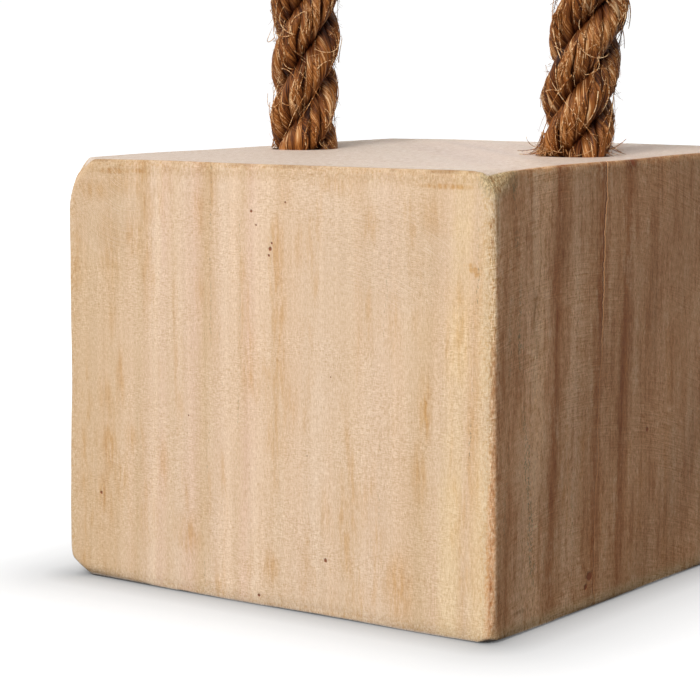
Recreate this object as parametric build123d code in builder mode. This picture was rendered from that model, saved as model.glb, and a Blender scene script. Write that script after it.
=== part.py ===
"""Rope-handled wooden block: a heavy floor-standing door stop that is lifted by a loop of rope.

A solid wooden block stands on its flat underside. A loop of three-strand rope comes out of its top:
both ends of the rope are whipped with twine, pushed into blind bores and locked there by wooden
cross pins that are driven in from the back face.

Frame: origin at the centre of the underside, +X along the front face, +Y to the back, +Z up.
Units: millimetres.
"""

import os
from math import pi, radians, tan

from build123d import *

# ---- driving dimensions -------------------------------------------------------------------------
BLOCK_WIDTH = 150.0  # along X
BLOCK_DEPTH = 166.0  # along Y
BLOCK_HEIGHT = 126.0  # along Z
CORNER_RADII = {(-1, -1): 5.0, (1, -1): 3.5, (1, 1): 5.0, (-1, 1): 6.0}  # upright edges, by (x, y) side
TOP_EDGE_RADIUS = 2.4
BOTTOM_EDGE_RADIUS = 2.8

ROPE_DIAMETER = 20.0
BORE_SPACING = 100.0  # between the two rope bores, along X
BORE_DEPTH = 85.0

WHIPPING_THICKNESS = 1.1
WHIPPING_HEIGHT = 16.0
WHIPPING_FROM_END = 5.0

PIN_DIAMETER = 8.0
PIN_LENGTH = 104.0  # from the back face through the rope and on into solid wood
PIN_BELOW_TOP = 44.0

JOINT_GAP = 0.3  # the loop's feet clear the block by this much at every tilt

# The loop of rope above the block, in its own upright plane: (x, height above the block's top).
# Its first and last points are the feet, and both lie on the tilt axis.
FOOT_HEIGHT = ROPE_DIAMETER / 2 + JOINT_GAP
LOOP_ROUTE = [
    (-49.8, FOOT_HEIGHT),
    (-48.6, 42.0),
    (-47.8, 82.0),
    (-25.4, 110.2),
    (9.4, 119.0),
    (42.4, 104.8),
    (60.0, 73.4),
    (54.4, 40.0),
    (51.0, FOOT_HEIGHT),
]
ARC_SHARE = 0.45  # of the shorter run beside a corner, taken up by that corner's arc

rope_radius = ROPE_DIAMETER / 2
bore_floor = BLOCK_HEIGHT - BORE_DEPTH
pin_height = BLOCK_HEIGHT - PIN_BELOW_TOP
pin_middle = BLOCK_DEPTH / 2 - PIN_LENGTH / 2
bore_places = {"left": -BORE_SPACING / 2, "right": BORE_SPACING / 2}

os.makedirs("parts", exist_ok=True)


def save(part, name):
    """Label a finished piece and write it as the STEP file of its node."""
    part.label = name
    export_step(part, f"parts/{name}.step")


def corner_radii(points):
    """The radius of the arc at each inner point of a route, as large as its two runs allow."""
    radii = []
    for before, corner, after in zip(points, points[1:], points[2:]):
        run_in, run_out = corner - before, after - corner
        turn = radians(run_in.get_angle(run_out))
        shorter = min(run_in.length, run_out.length)
        radii.append(ARC_SHARE * shorter / tan(turn / 2))
    return radii


# ---- block --------------------------------------------------------------------------------------
with BuildPart() as block:
    Box(BLOCK_WIDTH, BLOCK_DEPTH, BLOCK_HEIGHT, align=(Align.CENTER, Align.CENTER, Align.MIN))
    for (x_side, y_side), radius in CORNER_RADII.items():
        uprights = block.edges().filter_by(Axis.Z)
        corner = Vector(x_side * BLOCK_WIDTH / 2, y_side * BLOCK_DEPTH / 2, BLOCK_HEIGHT / 2)
        fillet(uprights.sort_by_distance(corner)[0], radius=radius)
    fillet(block.faces().sort_by(Axis.Z)[-1].edges(), radius=TOP_EDGE_RADIUS)
    fillet(block.faces().sort_by(Axis.Z)[0].edges(), radius=BOTTOM_EDGE_RADIUS)
    # blind bores for the rope, down from the top
    with BuildSketch(Plane.XY.offset(bore_floor)):
        with Locations(*[(x, 0) for x in bore_places.values()]):
            Circle(rope_radius)
    extrude(amount=BORE_DEPTH, mode=Mode.SUBTRACT)
    # blind holes for the cross pins, in from the back face
    with BuildSketch(Plane.XZ.offset(-BLOCK_DEPTH / 2)):
        with Locations(*[(x, pin_height) for x in bore_places.values()]):
            Circle(PIN_DIAMETER / 2)
    extrude(amount=PIN_LENGTH, mode=Mode.SUBTRACT)
save(block.part, "block")

# ---- rope ends, whippings and cross pins, one of each at either bore ------------------------------
for side, bore_x in bore_places.items():
    with BuildPart() as rope_end:
        with BuildSketch(Plane.XY.offset(bore_floor)):
            with Locations((bore_x, 0)):
                Circle(rope_radius)
        extrude(amount=BORE_DEPTH)
        # the twine bites into the rope, flush with its surface
        with BuildSketch(Plane.XY.offset(bore_floor + WHIPPING_FROM_END)):
            with Locations((bore_x, 0)):
                Circle(rope_radius)
                Circle(rope_radius - WHIPPING_THICKNESS, mode=Mode.SUBTRACT)
        extrude(amount=WHIPPING_HEIGHT, mode=Mode.SUBTRACT)
        # the pin parts the strands on its way through
        with BuildSketch(Plane.XZ.offset(-rope_radius)):
            with Locations((bore_x, pin_height)):
                Circle(PIN_DIAMETER / 2)
        extrude(amount=ROPE_DIAMETER, mode=Mode.SUBTRACT)
    save(rope_end.part, f"rope_end_{side}")

    with BuildPart() as whipping:
        with BuildSketch(Plane.XY.offset(bore_floor + WHIPPING_FROM_END)):
            with Locations((bore_x, 0)):
                Circle(rope_radius)
                Circle(rope_radius - WHIPPING_THICKNESS, mode=Mode.SUBTRACT)
        extrude(amount=WHIPPING_HEIGHT)
    save(whipping.part, f"whipping_{side}")

    with BuildPart() as cross_pin:
        with BuildSketch(Plane.XZ.offset(-BLOCK_DEPTH / 2)):
            with Locations((bore_x, pin_height)):
                Circle(PIN_DIAMETER / 2)
        extrude(amount=PIN_LENGTH)
    save(cross_pin.part, f"cross_pin_{side}")

# ---- rope loop: the part of the rope above the block, which the hand takes ------------------------
route = [Vector(x, 0, BLOCK_HEIGHT + height) for x, height in LOOP_ROUTE]
radii = corner_radii(route)
with BuildPart() as rope_loop:
    with BuildLine() as loop_line:
        FilletPolyline(*route, radius=radii)
    loop_start = Plane(origin=route[0], z_dir=route[1] - route[0])
    with BuildSketch(loop_start):
        Circle(rope_radius)
    sweep(path=loop_line.wires()[0])
    tube_volume = rope_loop.part.volume
    # each foot ends in a ball about the tilt axis, so that it clears the block at every tilt
    with Locations(route[0], route[-1]):
        Sphere(rope_radius)
save(rope_loop.part, "rope_loop")

loop_length = loop_line.wires()[0].length
print("radii of the loop's arcs, mm:", [round(radius, 1) for radius in radii])
print("length between the feet, mm:", round(loop_length, 1))
print("tube volume over section times length:", round(tube_volume / (pi * rope_radius**2 * loop_length), 5))
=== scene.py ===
"""Looks of the rope-handled wooden block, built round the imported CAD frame. Metres, +Z up."""

import math
from itertools import product

import bpy
import numpy as np
from mathutils import Matrix, Vector


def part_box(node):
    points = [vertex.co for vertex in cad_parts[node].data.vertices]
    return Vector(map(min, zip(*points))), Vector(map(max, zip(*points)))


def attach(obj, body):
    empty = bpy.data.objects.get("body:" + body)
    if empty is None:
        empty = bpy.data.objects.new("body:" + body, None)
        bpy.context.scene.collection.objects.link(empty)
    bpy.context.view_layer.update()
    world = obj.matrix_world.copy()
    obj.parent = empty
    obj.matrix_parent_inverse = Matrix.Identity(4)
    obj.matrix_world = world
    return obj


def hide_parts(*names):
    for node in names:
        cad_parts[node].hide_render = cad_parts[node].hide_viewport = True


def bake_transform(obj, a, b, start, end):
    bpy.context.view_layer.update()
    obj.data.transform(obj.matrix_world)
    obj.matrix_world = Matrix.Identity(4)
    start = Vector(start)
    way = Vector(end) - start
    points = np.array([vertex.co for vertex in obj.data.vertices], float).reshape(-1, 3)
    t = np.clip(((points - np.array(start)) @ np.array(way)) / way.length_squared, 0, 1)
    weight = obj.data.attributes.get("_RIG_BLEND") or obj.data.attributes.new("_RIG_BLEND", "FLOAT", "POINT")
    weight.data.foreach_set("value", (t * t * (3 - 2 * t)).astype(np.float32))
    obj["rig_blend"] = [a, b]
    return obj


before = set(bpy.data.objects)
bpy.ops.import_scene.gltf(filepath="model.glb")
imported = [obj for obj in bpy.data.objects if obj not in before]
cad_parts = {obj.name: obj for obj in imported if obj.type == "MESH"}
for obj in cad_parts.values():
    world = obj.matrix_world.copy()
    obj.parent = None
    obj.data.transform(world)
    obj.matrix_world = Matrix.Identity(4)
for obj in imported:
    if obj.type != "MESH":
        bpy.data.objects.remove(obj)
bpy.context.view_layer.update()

block_low, block_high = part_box("block")
TOP = block_high.z
MM = 0.001

# ---- the rope's sizes and route ----
ROPE_RADIUS = 0.010
BORE_X = 0.050
BORE_DEPTH = 0.085
STRANDS = 3
LAY_LENGTH = 0.0538  # along the rope, for one turn of a strand
LAY_START = 1.30  # radians, the first strand's place at the left bore's floor
YARNS = 12  # in the outer layer of a strand
YARN_LAY = 0.027  # a yarn's turn round its strand, the other way about
STRAND_HELIX = 0.0053  # from the rope's centre to a strand's
STRAND_RADIUS = 0.0054
YARN_RADIUS = 0.00146
YARN_STRETCH = 1.10  # a strand is wider than it is deep
FIBRE_LAY = 0.024  # a fibre's turn in its yarn
CORE_RADIUS = STRAND_RADIUS - 1.4 * YARN_RADIUS

# Each point is x and the height above the block's top. The loop's are those of the CAD source.
LOOP_ROUTE = [
    (-0.0498, 0.0103), (-0.0486, 0.042), (-0.0478, 0.082),
    (-0.0254, 0.1102), (0.0094, 0.119), (0.0424, 0.1048),
    (0.0600, 0.0734), (0.0544, 0.040), (0.0510, 0.0103),
]
ROPE_ROUTE = [
    (-BORE_X, -BORE_DEPTH), (-BORE_X, -0.045), (-BORE_X, -0.006),
    *LOOP_ROUTE,
    (BORE_X, -0.006), (BORE_X, -0.045), (BORE_X, -BORE_DEPTH),
]
TUCK = 0.012  # how far the loop's own strands run down into the bores


# ---- small helpers ----
def waves(rng, at, shortest, longest, count=7):
    """A smooth random function of distance, about -1 to 1: sines of wavelengths between two limits."""
    lengths = np.exp(rng.uniform(math.log(shortest), math.log(longest), count))
    phases = rng.uniform(0, math.tau, count)
    return sum(np.sin(math.tau * at / l + p) for l, p in zip(lengths, phases)) / math.sqrt(count)


def normalized(v):
    return v / np.maximum(np.linalg.norm(v, axis=-1, keepdims=True), 1e-12)


def circle(sides):
    return np.linspace(0, math.tau, sides, endpoint=False)


def smoothstep(low, high, x):
    t = np.clip((x - low) / (high - low), 0, 1)
    return t * t * (3 - 2 * t)


def mesh_object(name, points, faces, attributes=(), sharp_angle=None):
    """A smooth-shaded mesh object from arrays, with named float or vector point attributes."""
    mesh = bpy.data.meshes.new(name)
    mesh.from_pydata(points.tolist(), [], faces)
    mesh.update()
    mesh.polygons.foreach_set("use_smooth", [True] * len(mesh.polygons))
    if sharp_angle:
        mesh.set_sharp_from_angle(angle=sharp_angle)
    for label, values in dict(attributes).items():
        kind, field = ("FLOAT_VECTOR", "vector") if values.ndim == 2 else ("FLOAT", "value")
        mesh.attributes.new(label, kind, "POINT").data.foreach_set(field, values.astype(np.float32).ravel())
    obj = bpy.data.objects.new(name, mesh)
    bpy.context.scene.collection.objects.link(obj)
    return obj


def tube_faces(number, sides, first=0):
    """The quads between a tube's rings of points, and a face over each end."""
    index = first + np.arange(number * sides).reshape(number, sides)
    beside = np.roll(index, -1, axis=1)
    quads = np.stack([index[:-1], beside[:-1], beside[1:], index[1:]], axis=-1).reshape(-1, 4)
    return [*quads.tolist(), index[0][::-1].tolist(), index[-1].tolist()]


class TubeSet:
    """Gathers tubes, each a stack of rings with closed ends, into the arrays of one mesh."""

    def __init__(self):
        self.points, self.faces, self.count = [], [], 0
        self.attributes = {"fibre": [], "tone": [], "depth": []}

    def add(self, rings, fibre, tone, depth):
        """rings is (rings, sides, 3), fibre the same shape, tone and depth (rings, sides). A lower depth
        paints more shade on the rope.
        """
        number, sides = rings.shape[:2]
        self.faces += tube_faces(number, sides, self.count)
        self.points.append(rings.reshape(-1, 3))
        self.attributes["fibre"].append(fibre.reshape(-1, 3))
        self.attributes["tone"].append(np.broadcast_to(tone, (number, sides)).ravel())
        self.attributes["depth"].append(np.broadcast_to(depth, (number, sides)).ravel())
        self.count += number * sides

    def build(self, name):
        gathered = {label: np.concatenate(parts) for label, parts in self.attributes.items()}
        return mesh_object(name, np.concatenate(self.points), self.faces, gathered)


def rings_round(centres, outward, radius):
    """Ring points round a line: outward is near each ring's zero angle, radius is (rings, sides)."""
    tangent = normalized(np.gradient(centres, axis=0))
    out = normalized(outward - (outward * tangent).sum(1, keepdims=True) * tangent)
    side = np.cross(tangent, out)
    angle = circle(radius.shape[1])
    spokes = np.cos(angle)[None, :, None] * out[:, None] + np.sin(angle)[None, :, None] * side[:, None]
    return centres[:, None] + radius[..., None] * spokes


# ---- the rope's centreline ----
def rope_centreline():
    """Points along the rope's NURBS route, from the left bore's floor to the right bore's."""
    curve = bpy.data.curves.new("rope_route", "CURVE")
    curve.dimensions = "3D"
    curve.resolution_u = 40
    spline = curve.splines.new("NURBS")
    spline.points.add(len(ROPE_ROUTE) - 1)
    for point, (x, height) in zip(spline.points, ROPE_ROUTE):
        point.co = (x, 0, TOP + height, 1)
    spline.order_u = 3
    spline.use_endpoint_u = True
    route = bpy.data.objects.new("rope_route", curve)
    mesh = bpy.data.meshes.new_from_object(route)
    line = np.array([v.co for v in mesh.vertices])
    bpy.data.meshes.remove(mesh)
    bpy.data.curves.remove(curve)
    return line


class Rope:
    """The rope's centreline by distance along it, with directions in the loop's plane and across it."""

    def __init__(self, line):
        self.line = line
        self.along = np.concatenate([[0], np.cumsum(np.linalg.norm(np.diff(line, axis=0), axis=1))])
        self.length = self.along[-1]
        self.tangents = normalized(np.gradient(line, self.along, axis=0))
        top_cut = TOP - TUCK
        half = len(line) // 2
        self.loop_start = float(np.interp(top_cut, line[:half, 2], self.along[:half]))
        self.loop_end = float(np.interp(top_cut, line[:half - 1:-1, 2], self.along[:half - 1:-1]))

    def at(self, s):
        """Centre, normal and across at distances s."""
        centre, tangent = (
            np.stack([np.interp(s, self.along, values[:, k]) for k in range(3)], axis=-1)
            for values in (self.line, self.tangents)
        )
        tangent = normalized(tangent)
        across = np.broadcast_to(np.array([0.0, 1.0, 0.0]), tangent.shape)
        return centre, np.cross(across, tangent), across


rope = Rope(rope_centreline())


# ---- strands ----
def squeeze(s):
    """How much thinner the rope is in its bores, and thinner still under a whipping near either end."""
    from_end = np.minimum(s, rope.length - s)
    whipped = smoothstep(0.003, 0.006, from_end) * (1 - smoothstep(0.020, 0.023, from_end))
    from_foot = from_end - (rope.loop_start + TUCK)
    tight = 1 - smoothstep(-0.0050, -0.0005, from_foot)
    splay = smoothstep(-0.001, 0.001, from_foot) * (1 - smoothstep(0.002, 0.009, from_foot))
    return 1 - 0.065 * tight - 0.10 * whipped + 0.03 * splay


def strand_frame(s, strand):
    """The rope's centre, the way out of it to a strand, and the way along its surface beside that."""
    centre, normal, across = rope.at(s)
    turn = (LAY_START + math.tau * (s / LAY_LENGTH + strand / STRANDS))[:, None]
    out = np.cos(turn) * normal + np.sin(turn) * across
    return centre, out, np.cos(turn) * across - np.sin(turn) * normal


def yarn_path(strand, yarn, s):
    """A yarn's centreline, the way out of its strand, its radius, and its own random draws."""
    rng = np.random.default_rng([strand, yarn])
    centre, out, beside = strand_frame(s, strand)
    thin = squeeze(s)[:, None]
    place = (math.tau * (yarn / YARNS - s / YARN_LAY) + 0.14 * waves(rng, s, 0.02, 0.12))[:, None]
    reach = (STRAND_RADIUS - YARN_RADIUS + 0.00024 * waves(rng, s, 0.012, 0.07))[:, None]
    offset = np.cos(place) * out + YARN_STRETCH * np.sin(place) * beside
    line = centre + thin * (STRAND_HELIX * out + reach * offset)
    size = YARN_RADIUS * rng.uniform(0.84, 1.12) * (1 + 0.10 * waves(rng, s, 0.01, 0.05))
    return line, offset, size, rng


def strand_tubes(tubes, strand, start, end, ring_step, sides):
    """One strand's outer yarns, as ridged tubes that turn against the rope's lay."""
    s = np.linspace(start, end, int((end - start) / ring_step) + 1)
    centre = rope.at(s)[0]
    angles = circle(sides)[None]
    for yarn in range(YARNS):
        line, offset, size, rng = yarn_path(strand, yarn, s)
        # fibres lie along the yarn with a slow twist, as ridges of uneven height
        twist = math.tau * s[:, None] / FIBRE_LAY + 0.8 * waves(rng, s, 0.01, 0.05)[:, None]
        ridges = np.zeros((len(s), sides))
        for lobes in range(2, sides // 2):
            swell = 1 + 0.6 * waves(rng, s, 0.006, 0.03)[:, None]
            wave = np.cos(lobes * (angles + twist) + rng.uniform(0, math.tau))
            ridges += swell * wave / math.sqrt(lobes)
        radius = size[:, None] * (1 + 0.055 * ridges)
        rings = rings_round(line, offset, radius)
        fibre = np.stack([
            np.broadcast_to(s[:, None] / MM, radius.shape),
            np.cos(angles + twist) * radius / MM,
            np.sin(angles + twist) * radius / MM,
        ], axis=-1) + rng.uniform(0, 90, 3)
        # the ridges term paints raised fibres a little lighter, a painted shade in the hollows between them
        tone = 0.5 + rng.normal(0, 0.17) + 0.10 * waves(rng, s, 0.01, 0.06)[:, None] + 0.05 * ridges
        painted_side_shade = 0.17 * (1 - np.cos(angles))  # painted shade: a yarn is darker where its neighbours stand beside it
        depth = np.linalg.norm(rings - centre[:, None], axis=-1) / ROPE_RADIUS - painted_side_shade
        tubes.add(rings, fibre, np.clip(tone, 0, 1), depth)


def strand_core(tubes, strand, start, end, ring_step):
    """The inner yarns, as one tube, so that no gap shows through the strand, dark with painted shade."""
    s = np.linspace(start, end, int((end - start) / (2 * ring_step)) + 1)
    centre, out, _ = strand_frame(s, strand)
    line = centre + squeeze(s)[:, None] * STRAND_HELIX * out
    rings = rings_round(line, out, np.full((len(s), 10), CORE_RADIUS))
    # a low tone and depth paint the core dark: painted shade inside the strand
    tubes.add(rings, rings / MM, np.full((1, 1), 0.3), np.full((1, 1), 0.6))


def of_rope(tubes, name):
    """The tubes as one piece."""
    piece = tubes.build(name)
    return piece


def rope_piece(name, strand, start, end, ring_step, sides):
    tubes = TubeSet()
    strand_tubes(tubes, strand, start, end, ring_step, sides)
    strand_core(tubes, strand, start, end, ring_step)
    return of_rope(tubes, name)


ring_step, sides = ((0.0011, 15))
loop_strands = [
    rope_piece(f"rope_strand_{strand + 1}", strand, rope.loop_start, rope.loop_end, ring_step, sides)
    for strand in range(STRANDS)
]
end_pieces = {}
for end_name, start, end in (("left", 0.0, rope.loop_start), ("right", rope.loop_end, rope.length)):
    tubes = TubeSet()
    for strand in range(STRANDS):
        strand_tubes(tubes, strand, start, end, 2 * ring_step, 8)
    end_pieces[end_name] = of_rope(tubes, f"rope_tail_{end_name}")


# ---- loose fibres ----
HAIR_SIDES = 4


def hair(tubes, rng, line, thickness, tone=None):
    """One thin fibre along a line, tapering to its tip."""
    taper = np.linspace(1, 0.45, len(line))[:, None]
    radius = np.broadcast_to(thickness / 2 * taper, (len(line), HAIR_SIDES))
    tangent = np.gradient(line, axis=0)
    outward = np.cross(tangent, rng.normal(size=3))
    rings = rings_round(line, outward, radius)
    along = np.linspace(0, 8, len(line))[:, None, None]
    fibre = np.broadcast_to(along, rings.shape) + rng.uniform(0, 90, 3)
    tone = rng.uniform(0.55, 1) if tone is None else tone
    tubes.add(rings, fibre, np.full((1, 1), tone), np.full((1, 1), 1.15))


def on_rope(s, angle, radius):
    """A point at an angle round the rope and at a radius from its centreline."""
    centre, normal, across = rope.at(s)
    return centre + radius[:, None] * (np.cos(angle)[:, None] * normal + np.sin(angle)[:, None] * across)


def curls(name, seed, start, end, count):
    """Stiff pale fibres that spring out of the rope in arcs."""
    rng = np.random.default_rng(seed)
    tubes = TubeSet()
    for _ in range(count):
        share = np.linspace(0, 1, 16)
        radius, sweep = rng.uniform(0.0022, 0.0060), rng.uniform(1.4, 3.2)
        heading = rng.uniform(0, math.tau) + sweep * share
        s = rng.uniform(start + 0.008, end - 0.008) + radius * np.cos(heading)
        angle = rng.uniform(0, math.tau) + radius * np.sin(heading) / ROPE_RADIUS
        lift = 1.06 + rng.uniform(0.02, 0.16) * np.sin(math.pi * share) + rng.uniform(0, 0.12) * share**2
        hair(tubes, rng, on_rope(s, angle, ROPE_RADIUS * lift), rng.uniform(0.00028, 0.00046), tone=0.95)
    return of_rope(tubes, name)


def loose_fibres(name, seed, start, end, count, lengths, lifts, thicknesses, steepness, steps):
    """Fibres that lie over the strands or stand off them."""
    rng = np.random.default_rng(seed)
    tubes = TubeSet()
    for _ in range(count):
        length, lift = rng.uniform(*lengths), rng.uniform(*lifts)
        slope = rng.uniform(*steepness)  # the fibre's angle to the rope's own line
        share = np.linspace(0, 1, steps)
        s = rng.uniform(start, end - length * abs(math.cos(slope))) + share * length * math.cos(slope)
        angle = rng.uniform(0, math.tau) + share * length * math.sin(slope) / ROPE_RADIUS
        bow = 0.0007 * np.sin(share * math.pi * rng.uniform(0.8, 2.4))
        radius = ROPE_RADIUS * rng.uniform(0.93, 1.0) + bow + lift * share**2.5
        if rng.random() < 0.5:
            s = s[::-1]
        hair(tubes, rng, on_rope(s, angle, radius), rng.uniform(*thicknesses))
    return of_rope(tubes, name)


def yarn_fibres(name, seed, start, end, count):
    """Fibres that have worked loose from a yarn but still run along it, over the grooves beside it."""
    rng = np.random.default_rng(seed)
    tubes = TubeSet()
    while count:
        length = rng.uniform(0.006, 0.028)
        first = rng.uniform(start, end - length)
        share = np.linspace(0, 1, 12)
        s = first + share * length
        line, _, size, _ = yarn_path(rng.integers(STRANDS), rng.integers(YARNS), s)
        centre = rope.at(s)[0]
        outward = normalized(line - centre)
        if np.linalg.norm(line - centre, axis=1).mean() < 0.82 * ROPE_RADIUS:
            continue
        count -= 1
        sideways = normalized(np.cross(np.gradient(line, axis=0), outward))
        drift = rng.normal(0, 0.0005) + rng.normal(0, 0.0009) * share + 0.0003 * waves(rng, s, 0.01, 0.03)
        rise = size * 0.92 + np.abs(rng.normal(0, 0.00018)) + 0.0005 * rng.random() * share**3
        line = line + rise[:, None] * outward + drift[:, None] * sideways
        hair(tubes, rng, line, rng.uniform(0.00020, 0.00050))
    return of_rope(tubes, name)


few = 1
above, below = rope.loop_start + TUCK + 0.001, rope.loop_end - TUCK - 0.001
surface_fibres = yarn_fibres("rope_surface_fibres", 10, above, below, 900 // few)
long_fibres = loose_fibres(
    "rope_long_fibres", 11, above, below, 170 // few, (0.009, 0.030), (-0.0004, 0.0020),
    (0.00022, 0.00042), (-0.75, 0.9), 9,
)
fuzz = loose_fibres(
    "rope_fuzz", 12, above, below, 1300 // few, (0.0015, 0.0055), (0.0004, 0.0026),
    (0.00008, 0.00017), (-1.5, 1.5), 4,
)
curled = curls("rope_curls", 13, above, below, 110 // few)


def foot_fibres(name, x, seed, groups):
    """Fibres that bend out over the rim of a bore. Each group: count, direction, spread, reach, height
    at the rope, and the greatest height of a tip."""
    rng = np.random.default_rng(seed)
    tubes = TubeSet()
    for count, direction, spread, reach, height, tip in groups:
        for _ in range(max(count // few, 1)):
            share = np.linspace(0, 1, 9)
            out = ROPE_RADIUS * rng.uniform(0.86, 0.99)
            out = out + rng.uniform(0.2, 1) * reach * share ** rng.uniform(1, 2)
            rise = rng.uniform(0.25, 1) * height
            curl = rng.normal(0, 0.35)
            up = rise * (1 - share) ** 1.2 + rng.random() ** 2 * tip * share**2 + 0.0002
            angle = rng.normal(direction, spread) + curl * share * reach / 0.004
            line = np.stack([x + out * np.cos(angle), out * np.sin(angle), TOP + up], axis=-1)
            hair(tubes, rng, line, rng.uniform(0.00018, 0.00045))
    return of_rope(tubes, name)


left_foot = foot_fibres("rope_foot_fibres_left", -BORE_X, 21, [
    (26, -1.0, 2.0, 0.0010, 0.0035, 0.0010),
    (9, 0.2, 0.5, 0.0022, 0.0030, 0.0015),
])
right_foot = foot_fibres("rope_foot_fibres_right", BORE_X + 0.0002, 22, [
    (40, -1.0, 2.0, 0.0012, 0.0040, 0.0010),
    (70, -2.6, 0.50, 0.0036, 0.0075, 0.0015),
    (12, -2.7, 0.40, 0.0095, 0.0040, 0.0070),
    (22, 0.45, 0.40, 0.0058, 0.0040, 0.0060),
])


# ---- block ----
EDGE_ZONE = 0.009  # the band beside an arris that has the finest mesh
SOFTNESS = 0.00020  # how gently a sanded facet runs into the face beside it
PAST = 0.01  # how far a hole's cutter stands out of the block

# The sanded arrises and corners. The key says which faces meet there, by the sign of their axis, and each
# entry is one flat facet: how far it runs in from the sharp edge along x, y and z, in millimetres.
FACETS = {
    (1, -1, 0): [(2.9, 2.2, 0)],
    (-1, -1, 0): [(1.3, 1.5, 0)],
    (1, 1, 0): [(3, 1.3, 0), (1.2, 3.2, 0)],
    (-1, 1, 0): [(3.4, 1.4, 0), (1.5, 3.4, 0)],
    (0, -1, 1): [(0, 0.35, 0.5)],
    (0, 1, 1): [(0, 1.8, 1.4)],
    (1, 0, 1): [(0.6, 0, 0.8)],
    (-1, 0, 1): [(1.4, 0, 1.7)],
    (0, -1, -1): [(0, 0.7, 3), (0, 1.8, 0.45)],
    (0, 1, -1): [(0, 2.4, 2.2)],
    (1, 0, -1): [(0.4, 0, 1.6), (1.8, 0, 0.45)],
    (-1, 0, -1): [(2.2, 0, 2.4)],
    (-1, -1, 1): [(12, 10, 9.8), (5.6, 7, 18), (1.5, 3, 34)],
    (1, -1, 1): [(6, 24, 1.4), (3.6, 12, 8)],
    (1, 1, 1): [(6, 7, 5)],
    (-1, 1, 1): [(6, 5, 7)],
    (-1, -1, -1): [(9.6, 9, 6.4), (4, 7, 10), (60, 2.4, 3.4)],
    (1, -1, -1): [(5.5, 5.5, 3.2), (2, 5, 14), (3, 40, 1)],
    (1, 1, -1): [(6, 5, 6)],
    (-1, 1, -1): [(7, 6, 7)],
}


def stops(half, fine, coarse):
    """Places along one side of the block, close together near its ends."""
    near = np.arange(0, EDGE_ZONE, fine)
    middle = np.linspace(-half + EDGE_ZONE, half - EDGE_ZONE, int(2 * (half - EDGE_ZONE) / coarse) + 1)
    return np.concatenate([-half + near, middle, (half - near)[::-1]])


def block_grid(half):
    """The points and quads of a box's skin, with shared corners."""
    fine, coarse = ((0.00075, 0.0021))
    axes = [stops(h, fine, coarse) for h in half]
    index, points, faces = {}, [], []

    def point(cell):
        if cell not in index:
            index[cell] = len(points)
            points.append([axes[k][cell[k]] for k in range(3)])
        return index[cell]

    last = [len(a) - 1 for a in axes]
    for axis in range(3):
        u, v = (axis + 1) % 3, (axis + 2) % 3
        for end, a, b in product((0, last[axis]), range(last[u]), range(last[v])):
            ring = []
            for da, db in ((0, 0), (1, 0), (1, 1), (0, 1)):
                cell = [0, 0, 0]
                cell[axis], cell[u], cell[v] = end, a + da, b + db
                ring.append(point(tuple(cell)))
            faces.append(ring if end else ring[::-1])
    return np.array(points), faces


def sand(points, start, half, rng, sides, setbacks):
    """Pushes the points that stand beyond one facet back onto it, with a hand's unevenness."""
    sides = np.array(sides, float)
    slope = np.array([1 / (s * MM) if s else 0.0 for s in setbacks]) * sides
    steep = np.linalg.norm(slope)
    normal = slope / steep
    along = start @ (1 - np.abs(sides)) if 0 in sides else start @ np.array([1, -1, 1]) / 1.7
    uneven = min(0.00013, 0.04 * MM * min(s for s in setbacks if s))
    reach = (half * sides) @ normal - 1 / steep + uneven * waves(rng, along, 0.012, 0.08)
    push = SOFTNESS * np.logaddexp(0, (points @ normal - reach) / SOFTNESS)
    return points - push[:, None] * normal


def block_mesh():
    """A sawn block, a little out of true, with hand-sanded arrises and corners."""
    half = np.array([*(block_high - block_low)]) / 2
    start, faces = block_grid(half)
    rng = np.random.default_rng(5)
    points = start.copy()
    for sides, facets in FACETS.items():
        for setbacks in facets:
            points = sand(points, start, half, rng, sides, setbacks)
    # the faces are flat to a tenth of a millimetre or two, and the left one leans out towards its foot
    x, y, z = points.T
    inward = -points / half * (np.abs(points) > half - 0.0004)
    points += 0.00009 * (waves(rng, x + y - z, 0.05, 0.2) + 1)[:, None] * inward
    drop = -z / half[2]
    lean = 0.0007 + 0.0005 * drop + 0.0014 * smoothstep(-0.15, 0.75, drop)
    points[:, 0] -= np.clip(-x / half[0], 0, 1) * lean
    points[:, 2] = np.maximum(points[:, 2], -half[2]) + half[2]
    gaps = np.sort(half - np.abs(start), axis=1)
    arris = 1 - smoothstep(0.0006, 0.0065, gaps[:, 1])
    top = (start[:, 2] > half[2] - 1e-6) & (gaps[:, 1] > 0.0011)
    base = (start[:, 2] < -half[2] + 1e-6)
    sawn = (np.abs(start[:, 0]) > half[0] - 1e-6) | (start[:, 1] > half[1] - 1e-6)
    marks = {"arris": arris, "end_grain": (top | base).astype(float), "sawn": sawn.astype(float)}
    return mesh_object("wooden_block", points, faces, marks)


def cutter(name, radius, start, end, sides=64):
    """A closed round bar between two points, to cut a hole with."""
    line = np.array([start, end], float)
    rings = rings_round(line, np.tile([1.0, 0, 0], (2, 1)), np.full((2, sides), radius))
    return mesh_object(name, rings.reshape(-1, 3), tube_faces(2, sides))


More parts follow.
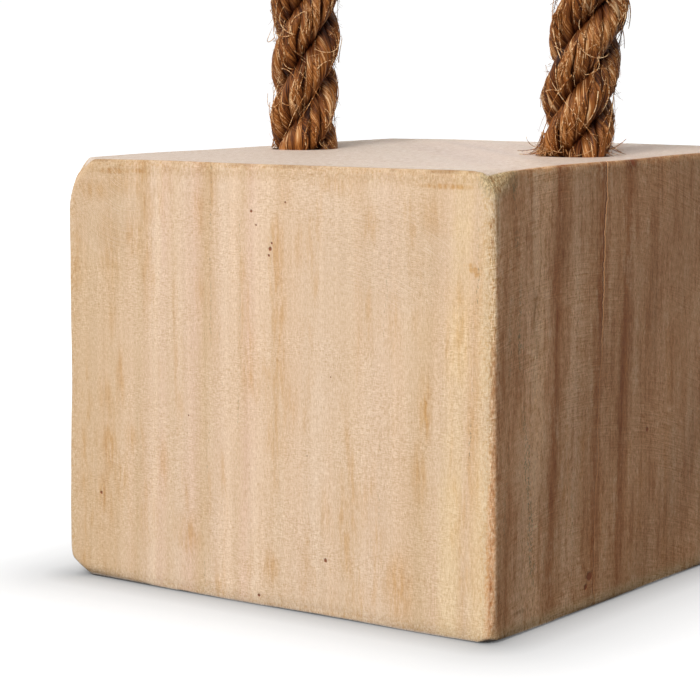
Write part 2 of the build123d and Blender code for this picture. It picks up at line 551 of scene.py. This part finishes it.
def bore_out(block):
    """The two rope bores from the top and the two pin holes from the back face."""
    pin_low, pin_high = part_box("cross_pin_left")
    pin_radius, pin_z = (pin_high.x - pin_low.x) / 2, (pin_high.z + pin_low.z) / 2
    for sign in (-1, 1):
        x = sign * BORE_X
        pin_start, pin_end = (x, pin_low.y, pin_z), (x, pin_high.y + PAST, pin_z)
        tools = [
            cutter("bore_tool", ROPE_RADIUS + 0.0002, (x, 0, TOP - BORE_DEPTH), (x, 0, TOP + PAST)),
            cutter("pin_tool", pin_radius + 0.00005, pin_start, pin_end, 32),
        ]
        for tool in tools:
            cut = block.modifiers.new("hole", "BOOLEAN")
            cut.operation, cut.solver, cut.object = "DIFFERENCE", "EXACT", tool
            bpy.context.view_layer.update()
            shown = block.evaluated_get(bpy.context.evaluated_depsgraph_get())
            mesh = bpy.data.meshes.new_from_object(shown)
            block.modifiers.clear()
            block.data = mesh
            bpy.data.objects.remove(tool)
    block.data.set_sharp_from_angle(angle=math.radians(38))


block = block_mesh()
bore_out(block)


# ---- whippings and pins ----
def whipping(side):
    """Twine wound round a buried end of the rope, turn against turn."""
    low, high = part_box(f"whipping_{side}")
    twine = 0.0011
    turns = (high.z - low.z - twine) / twine
    step = np.linspace(0, turns, int(turns * 40))
    angle = math.tau * step
    radius = ROPE_RADIUS - twine / 2
    middle = (low.x + high.x) / 2
    line = np.stack([middle + radius * np.cos(angle), radius * np.sin(angle),
                     low.z + twine / 2 + twine * step], axis=-1)
    sides = 8
    outward = (line - [middle, 0, 0]) * [1, 1, 0]
    lobes = np.cos(2 * (circle(sides)[None] + 9 * angle[:, None]))
    rings = rings_round(line, outward, twine / 2 * (1 + 0.07 * lobes))
    tubes = TubeSet()
    fibre = np.stack([np.broadcast_to(radius * angle[:, None] / MM, lobes.shape), lobes, lobes], axis=-1)
    tubes.add(rings, fibre, np.full((1, 1), 0.5), np.full((1, 1), 1.0))
    piece = tubes.build(f"twine_whipping_{side}")
    return piece


def dowel(side):
    """A fluted wooden dowel with eased ends."""
    low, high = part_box(f"cross_pin_{side}")
    radius, flutes, sides = (high.x - low.x) / 2, 18, 108
    y = np.concatenate([[0, 0.0003, 0.0008], np.linspace(0.003, high.y - low.y - 0.003, 24),
                        high.y - low.y - np.array([0.0008, 0.0003, 0.0])])
    from_end = np.minimum(y, y[-1] - y)
    ease = radius * (1 - 0.10 * (1 - smoothstep(-0.0002, 0.0009, from_end)))
    line = np.stack([np.full_like(y, (low.x + high.x) / 2), low.y + y - 0.00015,
                     np.full_like(y, (low.z + high.z) / 2)], axis=-1)
    angle = circle(sides)
    depth = 0.055 * (0.5 + 0.5 * np.cos(flutes * angle)) ** 3
    fluted = smoothstep(0.0015, 0.004, from_end)[:, None] * depth
    rings = rings_round(line, np.tile([1.0, 0, 0], (len(line), 1)), ease[:, None] * (1 - fluted))
    faces = tube_faces(len(rings), sides)
    piece = mesh_object(f"dowel_{side}", rings.reshape(-1, 3), faces, sharp_angle=math.radians(50))
    return piece


whippings = {side: whipping(side) for side in ("left", "right")}
dowels = {side: dowel(side) for side in ("left", "right")}


# ---- materials ----
class Nodes:
    """A short hand for building a material's node tree."""

    def __init__(self, name):
        self.material = bpy.data.materials.new(name)
        self.material.use_nodes = True
        self.tree = self.material.node_tree
        self.shader = self.tree.nodes["Principled BSDF"]

    def link(self, value, socket):
        if isinstance(value, bpy.types.NodeSocket):
            self.tree.links.new(value, socket)
        elif value is not None:
            socket.default_value = value

    def node(self, kind, settings=None, **inputs):
        node = self.tree.nodes.new("ShaderNode" + kind)
        for key, value in (settings or {}).items():
            setattr(node, key, value)
        for key, value in inputs.items():
            self.link(value, node.inputs[key])
        return node

    def attribute(self, name, output="Fac"):
        return self.node("Attribute", {"attribute_name": name}).outputs[output]

    def math(self, operation, a, b=None, c=None, clamp=False):
        node = self.tree.nodes.new("ShaderNodeMath")
        node.operation, node.use_clamp = operation, clamp
        for socket, value in zip(node.inputs, (a, b, c)):
            self.link(value, socket)
        return node.outputs[0]

    def add(self, a, b):
        return self.math("ADD", a, b)

    def times(self, a, b, plus=None):
        return self.math("MULTIPLY" if plus is None else "MULTIPLY_ADD", a, b, plus)

    def centred(self, a, gain=1.0):
        return self.times(a, gain, -gain / 2)

    def vectors(self, operation, a, b=None, output=0):
        node = self.node("VectorMath", {"operation": operation}, Vector=a)
        self.link(b, node.inputs[1])
        return node.outputs[output]

    def object_place(self):
        return self.node("TexCoord").outputs["Object"]

    def place(self, vector, scale=(1, 1, 1), move=(0, 0, 0)):
        return self.node("Mapping", Vector=vector, Scale=scale, Location=move).outputs[0]

    def noise(self, vector, detail=2.0, roughness=0.5):
        node = self.node("TexNoise", Vector=vector, Scale=1.0, Detail=detail, Roughness=roughness)
        return node.outputs["Fac"]

    def range(self, value, low, high, to_low=0.0, to_high=1.0, smooth=True):
        node = self.node("MapRange", {"interpolation_type": "SMOOTHSTEP" if smooth else "LINEAR"})
        for socket, number in zip(node.inputs, (value, low, high, to_low, to_high)):
            self.link(number, socket)
        return node.outputs[0]

    def ramp(self, value, stops):
        node = self.node("ValToRGB", Fac=value)
        elements = node.color_ramp.elements
        while len(elements) < len(stops):
            elements.new(0.5)
        for element, (place, colour) in zip(elements, stops):
            element.position, element.color = place, (*colour, 1)
        return node.outputs["Color"]

    def mix(self, amount, a, b, blend="MIX"):
        node = self.node("Mix", {"data_type": "RGBA", "blend_type": blend})
        for socket, value in zip([node.inputs[0], node.inputs[6], node.inputs[7]], (amount, a, b)):
            self.link((*value, 1) if isinstance(value, tuple) and len(value) == 3 else value, socket)
        return node.outputs[2]

    def tint(self, amount, colour, by):
        return self.mix(amount, colour, by, "MULTIPLY")

    def bump(self, height, strength, distance):
        return self.node("Bump", Height=height, Strength=strength, Distance=distance).outputs[0]

    def surface(self, colour, roughness, normal=None, specular=0.5):
        """Sets up the shader: sockets are linked, and plain numbers go onto its own sockets."""
        inputs = self.shader.inputs
        self.link(colour, inputs["Base Color"])
        self.link(roughness, inputs["Roughness"])
        self.link(normal, inputs["Normal"])
        self.link(specular, inputs["Specular IOR Level"])
        return self.material


def manila():
    n = Nodes("manila")
    fibre = n.attribute("fibre", "Vector")
    tone = n.attribute("tone")
    depth = n.attribute("depth")
    streaks = n.noise(n.place(fibre, (0.050, 1.3, 1.3)), detail=3, roughness=0.62)
    fine = n.noise(n.place(fibre, (0.085, 3.4, 3.4)), detail=2, roughness=0.6)
    patches = n.noise(n.place(fibre, (0.20, 0.4, 0.4)), detail=2)
    mixed = n.add(n.times(streaks, 0.52), n.times(fine, 0.48))
    lift = n.add(n.times(mixed, 2.5, -0.75), n.centred(tone, 0.60))
    lift = n.math("ADD", lift, n.centred(patches, 0.62), clamp=True)
    # the patches and the palest stop are partly the pale straw of the fibres and partly painted glints
    colour = n.ramp(lift, [
        (0.08, (0.026, 0.006, 0.001)),
        (0.30, (0.100, 0.027, 0.004)),
        (0.50, (0.226, 0.070, 0.013)),
        (0.70, (0.430, 0.172, 0.044)),
        (0.92, (0.850, 0.590, 0.330)),
    ])
    # painted shade: darker towards the rope's centre and down the sides of each yarn, darkest on the strand
    # cores
    shade = n.range(depth, 0.55, 1.04)
    colour = n.mix(shade, n.tint(1.0, colour, (0.22, 0.13, 0.08)), colour)
    return n.surface(colour, n.range(fine, 0.3, 0.7, 0.36, 0.60), n.bump(mixed, 0.9, 0.0005), 0.13)


def srgb(*values):
    """A colour as it looks on a screen, 0 to 255, as the linear colour a shader takes."""
    return tuple(((v / 255 + 0.055) / 1.055) ** 2.4 for v in values)


# Tones of the wood on the front, and on the sides that are as the saw left them
FRONT_TONES = {
    "tan": (214, 183, 147), "straw": (223, 193, 161), "cream": (227, 199, 171),
    "pink": (226, 194, 167), "pale": (234, 206, 177), "butter": (230, 201, 162),
}
SIDE_TONES = {
    "dark": (172, 113, 68), "brown": (203, 153, 110), "mid": (216, 168, 126),
    "light": (234, 190, 150), "glow": (248, 203, 160),
}
# Growth layers stand upright and run diagonally through the block, so the same layers cross the front and
# the side. Each entry is a place across the layers, in mm, and the wood's tone there.
FRONT_LAYERS = [
    (-75, "tan"), (-57, "tan"), (-50, "straw"), (-47, "tan"), (-43, "cream"), (-41, "pale"),
    (-39, "pink"), (-35, "straw"), (-32, "cream"), (-27, "pink"), (-23, "tan"), (-18, "cream"),
    (-13, "pale"), (-10, "straw"), (-7, "pink"), (-2.5, "pale"), (3, "straw"), (18, "cream"),
    (30, "straw"), (38, "cream"), (47, "straw"), (54, "tan"), (59, "straw"), (62, "butter"),
    (66, "butter"), (68.5, "straw"), (72, "butter"), (75, "butter"),
]
SIDE_LAYERS = [
    (75, "glow"), (78, "mid"), (82, "brown"), (87, "mid"), (92, "light"), (100, "glow"), (104, "mid"),
    (107, "dark"), (110, "brown"), (116, "light"), (122, "mid"), (127, "brown"), (130, "dark"),
    (134, "mid"), (141, "brown"), (144, "dark"), (149, "mid"), (158, "brown"), (166, "mid"),
    (178, "brown"), (189, "mid"), (202, "brown"), (218, "mid"), (241, "brown"),
]
LAYER_LEAN = 0.045  # the layers lean to the right, going up
FRONT_Y, RIGHT_X, MIDDLE_Z = -83, 75, 63  # the front and right faces and half the height, in mm

# Stains, in mm: the middle's place along the face and its height, half width, half height, and strength
FRONT_STAINS = [
    (-65, 117, 7, 3.5, 0.9), (-56, 122.6, 6, 1.0, 1.6), (-46, 122.8, 4, 0.8, 1.2), (-54, 119, 7, 4, 0.6),
    (-58, 100, 4, 12, 0.6), (-49, 104, 4, 7, 0.7), (-58, 82, 1.6, 10, 0.6), (-55, 62, 1.8, 9, 0.8),
    (-60, 41, 3.2, 8, 1.0), (-63, 26, 1.8, 7, 0.9), (-51, 44, 2.4, 5, 0.6), (-39, 36, 2.2, 9, 0.6),
    (-30, 18, 5, 6, 0.8), (-24, 112, 2.2, 8, 0.6), (-24, 89, 2.0, 6, 0.5), (-8, 70, 1.6, 14, 0.5),
    (1, 12, 2.8, 5, 0.8), (8, 60, 3.0, 9, 0.5), (12, 104, 2.0, 7, 0.5), (20, 30, 2.4, 8, 0.4),
    (24, 121, 8, 3, 0.6), (36, 110, 3.0, 6, 0.7), (44, 84, 2.0, 10, 0.5), (54, 62, 2.2, 9, 1.2),
    (52, 44, 2.6, 9, 0.8), (45, 12, 5, 9, 0.9), (61, 121.6, 8, 0.8, 1.6), (56, 114, 4, 6, 0.5),
    (66, 92, 3, 14, 0.4), (68.2, 101.2, 2.2, 0.7, 1.3), (69.6, 100.0, 2.0, 0.9, 1.8),
    (70.7, 98.8, 1.1, 0.9, 1.9),
]
SIDE_STAINS = [
    (-61, 87, 1.4, 6, 1.5), (-60, 78, 0.9, 4, 1.0), (-68, 6.5, 4, 0.7, 1.4), (-9, 124.4, 4, 1.2, 1.6),
    (-30, 124.8, 5, 0.7, 1.2), (-50, 62, 1.5, 26, 0.6), (-47, 104, 3, 10, 0.5), (-28, 96, 1.6, 18, 0.6),
    (-15, 52, 2.0, 24, 0.7), (-66, 110, 5, 10, 0.5), (4, 84, 3, 20, 0.5), (28, 40, 3, 22, 0.5),
]
# pinholes and specks, in mm: x, y, z and radius
PINHOLES = [
    (1.7, -83, 102.4, 0.60), (1.2, -83, 100.6, 0.40), (2.3, -83, 104.0, 0.35), (-4.9, -83, 112.7, 0.45),
    (7.2, -83, 115.6, 0.32), (-3.2, -83, 108.9, 0.28), (-63.6, -83, 26.4, 0.55), (20.2, -83, 16.4, 0.60),
    (-3.8, -83, 3.2, 0.50), (-29, -83, 52.8, 0.28), (14, -83, 45.2, 0.25), (22.4, -83, 68, 0.25),
    (75, -32, 9.4, 1.5), (75, -34, 6.6, 0.9), (75, 0.5, 47.0, 0.8), (75, -9, 125.0, 1.1),
]
# Dotted dark lines of vessels that keep to one layer: place across the layers at the foot, its shift for
# each mm of height, width and strength
VESSELS = [
    (68.9, 0, 0.50, 0.60), (-21.5, 0, 0.40, 0.50), (-10.5, 0, 0.35, 0.35), (40, 0, 0.35, 0.25),
    (100.3, -0.141, 1.5, 0.90), (84, 0, 0.6, 0.5), (119, 0, 0.5, 0.35),
]
# Arcs of a sanding disc, in mm: the disc's centre in x and z, then the middle and half size of the patch
DISC_MARKS = [((-50, 128), (-60, 111), (18, 19)), ((20, 36), (44, 103), (30, 20))]


class BlockWood(Nodes):
    """The block's material, worked in mm. Each step takes the colour so far and gives the next one."""

    def __init__(self):
        super().__init__("sanded_block_wood")
        self.mm = self.place(self.object_place(), (1 / MM,) * 3)
        self.x, self.y, self.z = self.node("SeparateXYZ", Vector=self.mm).outputs
        self.sawn, self.end_grain, self.arris = map(self.attribute, ("sawn", "end_grain", "arris"))
        self.side_grain = self.math("SUBTRACT", 1, self.end_grain)
        self.speckle = self.grain((0.75, 0.75, 0.60), 4, 0.7)
        self.wiggle = self.grain((0.02, 0.02, 0.14), 5, 0.6)
        self.across = self.place_across()

    def grain(self, scale, detail=3, roughness=0.65, move=(0, 0, 0)):
        """Noise whose cells are 1 / scale mm in x, y and z."""
        return self.noise(self.place(self.mm, scale, move=move), detail=detail, roughness=roughness)

    def away(self, centre, size):
        """Distance from a place in mm, in units of the sizes, so that it is 1 all round that ellipsoid."""
        shift = tuple(-c / s for c, s in zip(centre, size))
        offset = self.place(self.mm, tuple(1 / s for s in size), move=shift)
        return self.vectors("LENGTH", offset, output="Value")

    def place_across(self):
        """Where a point is across the leaning growth layers, with ragged edges on the sawn sides."""
        across = self.add(self.add(self.x, self.y), -FRONT_Y)
        across = self.add(across, self.times(self.z, -LAYER_LEAN, MIDDLE_Z * LAYER_LEAN))
        across = self.add(across, self.centred(self.grain((0.02, 0.02, 0.014), roughness=0.5), 3.6))
        torn = self.centred(self.grain((0.45, 0.45, 0.10), 4, move=(4, 4, 0)))
        return self.add(across, self.times(torn, self.times(self.sawn, 5.0, 2.2)))

    def layers(self):
        colours = []
        for tones, table in ((FRONT_TONES, FRONT_LAYERS), (SIDE_TONES, SIDE_LAYERS)):
            low, high = table[0][0], table[-1][0]
            places = [((u - low) / (high - low), srgb(*tones[tone])) for u, tone in table]
            colours.append(self.ramp(self.range(self.across, low, high, smooth=False), places))
        plain = self.range(self.grain((0.03, 0.03, 0.035), move=(8, 3, 1)), 0.42, 0.64, 0, 0.45)
        front = self.mix(plain, colours[0], srgb(223, 194, 163))
        colour = self.mix(self.range(self.across, 74.5, 77.5), front, colours[1])
        fine = self.range(self.grain((0.60, 0.60, 0.012)), 0.36, 0.64, 0.26, 0)
        broad = self.range(self.grain((0.12, 0.12, 0.006), 2, 0.5, (9, 4, 2)), 0.40, 0.62, 0, 0.20)
        colour = self.tint(fine, colour, (0.80, 0.73, 0.64))
        return self.tint(broad, colour, (1.0, 0.90, 0.84))

    def stains(self, colour):
        """Rough tan patches, some with a set place and some without, made of short upright streaks."""
        streaks = self.range(self.grain((0.95, 0.95, 0.13), 4, move=(1, 1, 1)), 0.40, 0.60, 0.22, 1)
        anywhere = self.range(self.grain((0.13, 0.13, 0.020), move=(3, 8, 1)), 0.48, 0.74, 0, 0.8)
        patches = {"front": anywhere, "side": 0.0}
        spots = [("front", (x, FRONT_Y, z), (wide, 20, tall), s) for x, z, wide, tall, s in FRONT_STAINS]
        spots += [("side", (RIGHT_X, y, z), (20, wide, tall), s) for y, z, wide, tall, s in SIDE_STAINS]
        for face, centre, size, strength in spots:
            near = self.range(self.away(centre, size), 0.1, 1.5, strength, 0)
            patches[face] = self.math("MAXIMUM", patches[face], near)
        for face, stain in (("front", (0.84, 0.68, 0.45)), ("side", (0.56, 0.47, 0.37))):
            shown = self.math("MULTIPLY", patches[face], streaks, clamp=True)
            colour = self.tint(shown, colour, stain)
        return colour

    def edge_wear_and_painted_light(self, colour):
        """Arrises: ochre flecks of wear and pale painted glints, a band under the top that is partly rubbed
        and partly painted shade, a dark line under the top that is the edge's brown and painted shade, an
        olive patch at the right-hand top corner, and a paler foot on the sawn sides.
        """
        flecks = self.grain((1.5, 1.5, 1.1), 3, 0.7, (3, 3, 3))
        ochre = self.times(self.arris, self.range(flecks, 0.52, 0.66, 0, 0.75))
        colour = self.tint(ochre, colour, (0.84, 0.70, 0.46))
        glints = self.times(self.arris, self.range(flecks, 0.36, 0.50, 0.45, 0))
        colour = self.mix(glints, colour, srgb(238, 215, 178))
        # partly painted shade: the top few mm are darker where the top arris catches the light
        band = self.times(self.side_grain, self.range(self.z, 120.5, 123.5))
        band = self.times(band, self.range(self.speckle, 0.36, 0.60, 0.2, 0.8))
        colour = self.tint(band, colour, (0.87, 0.82, 0.74))
        # painted shade with the edge's own brown: a broken dark line on the top arris's facet
        broken = self.range(self.grain((0.10, 0.10, 0.02), 4, move=(2, 6, 0)), 0.46, 0.62, 0.25, 0.9)
        rim = self.times(self.times(self.side_grain, self.range(self.z, 124.6, 125.4)), broken)
        colour = self.tint(rim, colour, (0.62, 0.55, 0.46))
        corner = self.away((RIGHT_X, FRONT_Y, 2 * MIDDLE_Z), (4.5, 14, 8))
        corner = self.times(self.range(corner, 0.5, 1.2, 0.8, 0), self.side_grain)
        olive = self.mix(self.range(flecks, 0.40, 0.60), srgb(150, 126, 84), srgb(224, 202, 158))
        colour = self.mix(corner, colour, olive)
        foot = self.times(self.sawn, self.range(self.z, 1.5, 5, 0.6, 0))
        return self.mix(foot, colour, srgb(228, 196, 150))

    def sawn_sides(self, colour):
        """Mottled red-brown, in upright streaks."""
        streaks = self.grain((0.42, 0.42, 0.040), 5, 0.68, (5, 5, 5))
        rough = self.grain((1.1, 1.1, 0.45), 3, move=(7, 1, 5))
        blotchy = self.add(self.times(streaks, 0.65), self.times(rough, 0.35))
        dark = self.times(self.sawn, self.range(blotchy, 0.48, 0.62, 0, 0.80))
        pale = self.times(self.sawn, self.range(blotchy, 0.38, 0.48, 0.40, 0))
        colour = self.tint(dark, colour, (0.62, 0.45, 0.31))
        return self.mix(pale, colour, srgb(235, 200, 162))

    def end_faces(self, colour):
        """End grain on the top and the underside: paler and greyer, partly the end grain's own tone and
        partly a painted sheen of the top seen at a grazing angle.
        """
        flecks = self.grain((0.9, 0.35, 0.9), 4)
        tones = [(0.30, srgb(203, 183, 167)), (0.50, srgb(218, 201, 187)), (0.72, srgb(225, 211, 199))]
        # partly painted sheen: the top is whiter, as seen at a grazing angle
        return self.mix(self.times(self.end_grain, 0.88), colour, self.ramp(flecks, tones))

    def weave(self):
        """Upright fibres crossed by fine level lines, or by the saw's bowed strokes on sawn sides."""
        fibres = self.grain((3.8, 3.8, 0.75), 2)
        level = self.grain((0.80, 0.80, 4.2), 2)
        bow = self.math("POWER", self.math("DIVIDE", self.add(self.y, 40), 60), 2)
        bow = self.times(bow, 9, self.z)
        strokes = self.node("CombineXYZ", X=self.times(self.x, 0.12), Y=self.times(self.y, 0.12),
                            Z=self.times(bow, 2.3))
        strokes = self.noise(strokes.outputs[0], detail=2, roughness=0.6)
        level = self.mix(self.times(self.sawn, 0.65), level, strokes)
        patch = self.range(self.grain((0.035, 0.035, 0.05), 2, 0.5, (1, 6, 4)), 0.42, 0.60, 0.35, 1)
        weave = self.add(self.times(self.math("SUBTRACT", level, 0.5), patch), self.centred(fibres))
        return self.times(weave, self.times(self.sawn, 1.60, 0.95))

    def woven(self, colour, weave):
        """Dark fibres are also redder."""
        channels = [self.times(weave, gain, 1.0) for gain in (0.65, 0.95, 1.35)]
        shade = self.node("CombineColor", Red=channels[0], Green=channels[1], Blue=channels[2])
        colour = self.tint(1.0, colour, shade.outputs[0])
        pores = self.range(self.grain((3.0, 3.0, 0.55), 2, 0.5), 0.66, 0.78, 0, 0.34)
        return self.mix(pores, colour, srgb(150, 112, 74))

    def disc_marks(self, colour):
        """Arcs left by a sanding disc near the front's two top corners."""
        arcs = scratches = 0.0
        for (cx, cz), (px, pz), (wide, tall) in DISC_MARKS:
            turn = self.away((cx, FRONT_Y, cz), (0.55, 60, 0.55))
            rings = self.node("TexNoise", {"noise_dimensions": "1D"}, W=turn, Detail=3).outputs["Fac"]
            inside = self.range(self.away((px, FRONT_Y, pz), (wide, 6, tall)), 0.4, 1.1, 1, 0)
            arcs = self.add(arcs, self.times(self.centred(rings), inside))
            broken = self.range(self.grain((0.12, 0.12, 0.12), 2, move=(cx, 0, cz)), 0.50, 0.62)
            bright = self.times(self.times(self.range(rings, 0.60, 0.72), inside), broken)
            scratches = self.add(scratches, bright)
        colour = self.tint(self.range(arcs, 0.02, 0.12, 0, 0.50), colour, (0.80, 0.69, 0.55))
        colour = self.mix(self.range(arcs, -0.02, -0.12, 0, 0.50), colour, srgb(238, 215, 190))
        return self.mix(self.times(scratches, 0.8), colour, srgb(250, 232, 212)), arcs

    def vessels(self, colour):
        dots = self.range(self.grain((2.4, 2.4, 1.0), 2, move=(2, 2, 2)), 0.50, 0.58)
        dashes = self.range(self.grain((0.10, 0.10, 0.05), 3, move=(6, 2, 9)), 0.44, 0.58, 0.1, 1)
        dots = self.times(dots, dashes)
        for place, shift, width, strength in VESSELS:
            line = self.times(self.z, -shift, -place)
            gap = self.add(self.add(self.across, line), self.centred(self.wiggle, 3))
            gap = self.math("ABSOLUTE", gap)
            line = self.times(self.range(gap, 0.2 * width, width, strength, 0), dots)
            colour = self.mix(self.times(line, self.side_grain), colour, srgb(122, 108, 76))
        return colour

    def specks(self, colour):
        holes = 0.0
        jagged = self.centred(self.speckle, 1.2)
        for *centre, radius in PINHOLES:
            away = self.add(self.away(centre, (radius,) * 3), jagged)
            holes = self.math("MAXIMUM", holes, self.range(away, 0.6, 1.25, 0.9, 0))
        return self.mix(holes, colour, srgb(124, 60, 26)), holes

    def crack(self, colour):
        """A season crack down the right-hand side: its opening is painted shade, and one lip that catches
        the light is a painted highlight.
        """
        middle = self.times(self.z, 0.052, -30.4)
        from_middle = self.math("SUBTRACT", self.y, self.add(middle, self.centred(self.wiggle, 5)))
        shown = self.times(self.range(self.x, 70, 73), self.range(self.z, 70, 92, 0.25, 1))
        opening = self.range(self.math("ABSOLUTE", from_middle), 0.10, 0.40, 1, 0)
        opening = self.times(opening, shown)
        lip = self.range(self.math("ABSOLUTE", self.add(from_middle, -0.5)), 0.1, 0.45, 0.85, 0)
        # painted shade in the opening, then a painted highlight on the lip
        colour = self.mix(self.times(opening, 0.85), colour, srgb(86, 44, 22))
        return self.mix(self.times(lip, shown), colour, srgb(255, 192, 134)), opening

    def build(self):
        weave = self.weave()
        colour = self.sawn_sides(self.edge_wear_and_painted_light(self.stains(self.layers())))
        colour, arcs = self.disc_marks(self.woven(self.end_faces(colour), weave))
        colour, holes = self.specks(self.vessels(colour))
        colour, opening = self.crack(colour)
        height = self.add(self.times(weave, 0.30), self.times(arcs, 0.6))
        rough = self.times(self.arris, 0.9, 0.15)
        height = self.add(height, self.times(self.centred(self.speckle, 0.9), rough))
        height = self.add(height, self.add(self.times(holes, -1.5), self.times(opening, -2.0)))
        roughness = self.range(weave, -0.3, 0.3, 0.62, 0.76)
        return self.surface(colour, roughness, self.bump(height, 0.5, 0.0003), 0.22)


def twine_material():
    n = Nodes("linen_twine")
    fibre = n.attribute("fibre", "Vector")
    streaks = n.noise(n.place(fibre, (0.8, 2, 2)), detail=3)
    colour = n.ramp(streaks, [(0.3, (0.40, 0.30, 0.18)), (0.7, (0.66, 0.55, 0.38))])
    return n.surface(colour, 0.62, n.bump(streaks, 0.5, 0.0002))


def dowel_wood():
    n = Nodes("dowel_wood")
    mm = n.place(n.object_place(), (1 / MM,) * 3)
    fine = n.noise(n.place(mm, (1.6, 0.05, 1.6)), detail=4, roughness=0.65)
    rings = n.noise(n.place(mm, (0.5, 0.01, 0.2)), detail=2)
    both = n.add(n.times(fine, 0.6), n.times(rings, 0.4))
    colour = n.ramp(both, [(0.35, (0.36, 0.20, 0.10)), (0.65, (0.62, 0.42, 0.24))])
    return n.surface(colour, 0.66, n.bump(fine, 0.4, 0.0002))


def dress(material, *pieces):
    for piece in pieces:
        piece.data.materials.clear()
        piece.data.materials.append(material)


loose = [surface_fibres, long_fibres, fuzz, curled]
dress(manila(), *loop_strands, *end_pieces.values(), *loose, left_foot, right_foot)
dress(BlockWood().build(), block)
dress(twine_material(), *whippings.values())
dress(dowel_wood(), *dowels.values())


# ---- what rides on what ----
for piece in (block, left_foot, right_foot, *end_pieces.values(), *whippings.values(), *dowels.values()):
    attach(piece, "root")
for piece in (*loop_strands, *loose):
    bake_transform(piece, "root", "loop", start=(0, 0, TOP - 0.001), end=(0, 0, TOP + 0.024))
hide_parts("block")
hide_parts("rope_loop")
for side in ("left", "right"):
    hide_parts(f"rope_end_{side}")
    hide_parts(f"whipping_{side}")
    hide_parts(f"cross_pin_{side}")


# ---- stage, light and camera ----
FLOOR_REACH = 4.0
INSET = 0.004  # the floor's shade starts this far inside the block's footprint
SHADE_REACH = 0.1
# (distance from the footprint as a share of the reach, glow of the floor)
FLOOR_SHADES = [
    (0, 0.0), (0.03, 0.16), (0.06, 0.28), (0.16, 0.52), (0.26, 0.63), (0.54, 0.85), (0.94, 1.05),
]
KEY, OVERHEAD, FILL, RIM, BACK = 104.0, 5.0, 8.0, 3.0, 15.0  # watts


def floor():
    """A white sweep: it takes the block's shadow from the lamps, has a painted shadow round the block in its
    glow, and fades into the white surroundings.
    """
    corners = FLOOR_REACH * np.array([[-1, -1, 0], [1, -1, 0], [1, 1, 0], [-1, 1, 0]])
    obj = mesh_object("floor", corners, [[0, 1, 2, 3]])
    obj.visible_diffuse = False  # it lights nothing, the lamps do
    n = Nodes("white_floor")
    # painted shadow: it glows less beside the block, like the shade round any heavy thing on a lit white
    # table
    place = n.vectors("ABSOLUTE", n.object_place())
    past = n.vectors("SUBTRACT", place, (block_high.x - INSET, block_high.y - INSET, 0))
    away = n.vectors("LENGTH", n.vectors("MAXIMUM", past), output="Value")
    glow = n.ramp(n.math("DIVIDE", away, SHADE_REACH), [(d, (g, g, g)) for d, g in FLOOR_SHADES])
    n.link(glow, n.shader.inputs["Emission Color"])
    n.shader.inputs["Emission Strength"].default_value = 1.0
    dress(n.surface((0.3, 0.3, 0.3, 1), 0.9, specular=0.0), obj)


def softbox(name, place, size, power, colour=(1, 1, 1)):
    data = bpy.data.lights.new(name, "AREA")
    data.shape, data.size, data.energy, data.color = "DISK", size, power, colour
    light = bpy.data.objects.new(name, data)
    light.location = place
    light.rotation_euler = (Vector((0, 0, 0.08)) - Vector(place)).to_track_quat("-Z", "Y").to_euler()
    light.visible_camera = False
    bpy.context.scene.collection.objects.link(light)


def studio():
    """White surroundings that only the camera and reflections see, and softboxes all round."""
    bpy.context.scene.view_settings.view_transform = "Standard"
    world = bpy.data.worlds.new("studio")
    bpy.context.scene.world = world
    world.use_nodes = True
    background = world.node_tree.nodes["Background"].inputs
    background["Color"].default_value = (1, 1, 1, 1)
    background["Strength"].default_value = 1.02
    world.cycles_visibility.diffuse = False
    softbox("key", (0.70, -2.45, 1.75), 1.4, KEY)
    softbox("overhead", (-0.25, -0.10, 1.5), 1.4, OVERHEAD)
    softbox("fill", (-1.50, -0.90, 0.80), 1.2, FILL)
    softbox("back", (-1.20, 2.00, 0.10), 0.5, BACK)
    softbox("rim", (0.90, 1.60, 1.10), 1.2, RIM, (1.0, 0.84, 0.70))


def camera():
    """The picture's viewpoint: a long lens, a little above the block, in front of its right-hand corner."""
    place = Vector((0.4048, -0.5910, 0.1588))
    yaw, pitch, roll = math.radians(-36.479), math.radians(7.459), math.radians(-0.369)
    ahead = Vector((math.sin(yaw) * math.cos(pitch), math.cos(yaw) * math.cos(pitch), -math.sin(pitch)))
    level = Vector((math.cos(yaw), -math.sin(yaw), 0))
    rise = level.cross(ahead)
    right = math.cos(roll) * level + math.sin(roll) * rise
    up = -math.sin(roll) * level + math.cos(roll) * rise
    data = bpy.data.cameras.new("camera")
    data.sensor_width, data.lens = 36, 120.2
    data.clip_start = 0.01
    obj = bpy.data.objects.new("camera", data)
    turn = Matrix((right, up, -ahead)).transposed().to_4x4()
    obj.matrix_world = Matrix.Translation(place) @ turn
    bpy.context.scene.collection.objects.link(obj)
    bpy.context.scene.camera = obj


floor()
studio()
camera()
